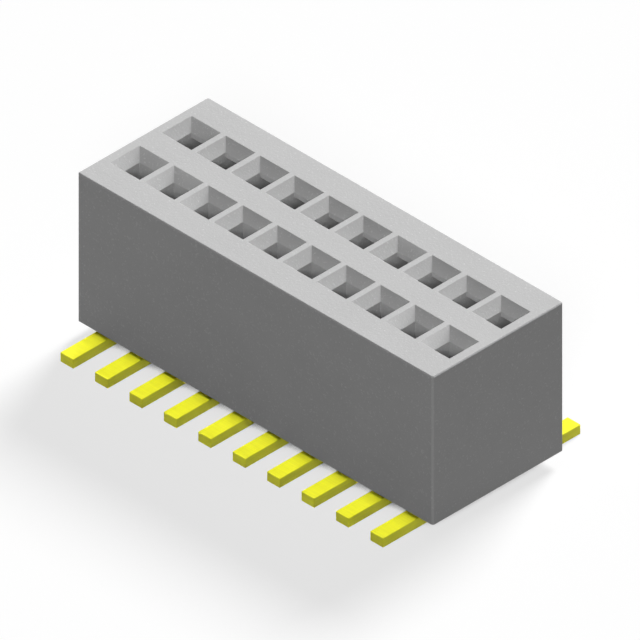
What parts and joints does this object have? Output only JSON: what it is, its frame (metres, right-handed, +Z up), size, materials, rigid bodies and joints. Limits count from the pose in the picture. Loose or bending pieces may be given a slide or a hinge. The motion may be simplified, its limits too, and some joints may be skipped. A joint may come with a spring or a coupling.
{
  "type": "socket header",
  "caption": "Surface-mount socket header: a moulded block with rows of chamfered square sockets over gold-plated fork contacts whose tails lie flat on the board.",
  "frame": {"origin": "centre of the footprint on the board plane, which the soles of the solder tails lie on", "axes": "+X along the rows of sockets, +Y across the rows, +Z up, the way a mated pin header leaves"},
  "size_m": [0.0082, 0.0046, 0.0032],
  "materials": {
    "housing_plastic": "light grey glass-filled liquid-crystal polymer with a fine moulded matt grain",
    "contact_gold": "satin gold plating over a stamped spring-bronze blade"
  },
  "bodies": {
    "root": {"housing": "housing_plastic", "contact_a01": "contact_gold", "contact_a02": "contact_gold", "contact_a03": "contact_gold", "contact_a04": "contact_gold", "contact_a05": "contact_gold", "contact_a06": "contact_gold", "contact_a07": "contact_gold", "contact_a08": "contact_gold", "contact_a09": "contact_gold", "contact_a10": "contact_gold", "contact_b01": "contact_gold", "contact_b02": "contact_gold", "contact_b03": "contact_gold", "contact_b04": "contact_gold", "contact_b05": "contact_gold", "contact_b06": "contact_gold", "contact_b07": "contact_gold", "contact_b08": "contact_gold", "contact_b09": "contact_gold", "contact_b10": "contact_gold"}
  },
  "joints": []
}
